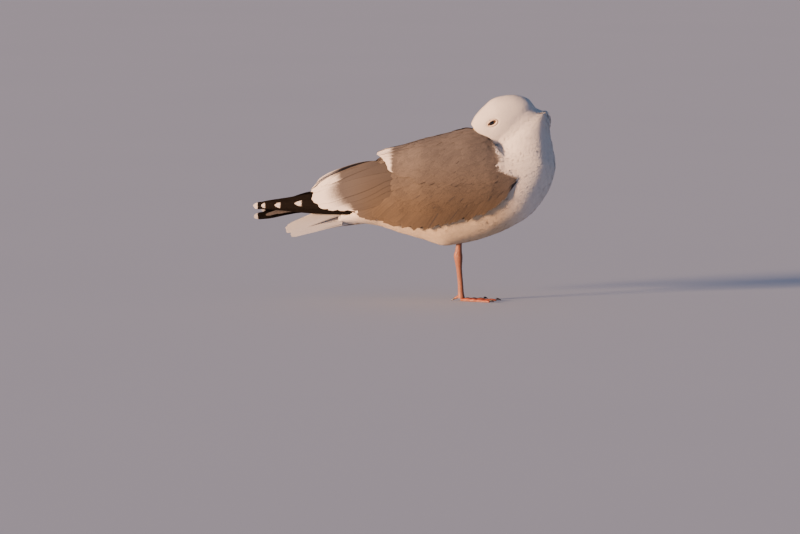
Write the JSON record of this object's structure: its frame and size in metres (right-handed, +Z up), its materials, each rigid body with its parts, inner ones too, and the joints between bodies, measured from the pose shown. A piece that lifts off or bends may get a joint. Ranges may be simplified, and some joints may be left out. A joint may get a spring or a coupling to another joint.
{
  "type": "herring gull, sleeping on one leg",
  "caption": "Adult herring gull asleep on one leg, head turned back and bill tucked between the scapulars, life size, as a still model.",
  "frame": {"origin": "on the floor, under the joint of the standing foot, on the flat of its pad", "axes": "+X the way the breast faces, +Y the bird's left, +Z up"},
  "size_m": [0.4811, 0.148, 0.3303],
  "materials": {
    "white_plumage": "matt white feathers over the flesh",
    "grey_plumage": "matt pearl-grey feathers",
    "black_plumage": "satin black feathers with white tips",
    "leg_skin": "satin scaled skin",
    "claw_horn": "satin dark horn",
    "bill_horn": "satin yellow horn with a red spot",
    "eye": "wet gloss"
  },
  "bodies": {
    "root": {"torso": "white_plumage", "neck": "white_plumage", "head": "white_plumage", "eye_right": "eye", "eye_left": "eye", "bill_upper": "bill_horn", "bill_lower": "bill_horn", "wing_right": "grey_plumage", "primaries_right": "black_plumage", "scapulars_right": "grey_plumage", "wing_left": "grey_plumage", "primaries_left": "black_plumage", "scapulars_left": "grey_plumage", "tail": "white_plumage", "leg_right_shank": "leg_skin", "leg_right_foot": "leg_skin", "claw_right_inner": "claw_horn", "claw_right_middle": "claw_horn", "claw_right_outer": "claw_horn", "claw_right_hind": "claw_horn", "leg_left_shank": "leg_skin", "leg_left_foot": "leg_skin", "claw_left_inner": "claw_horn", "claw_left_middle": "claw_horn", "claw_left_outer": "claw_horn"}
  },
  "joints": []
}
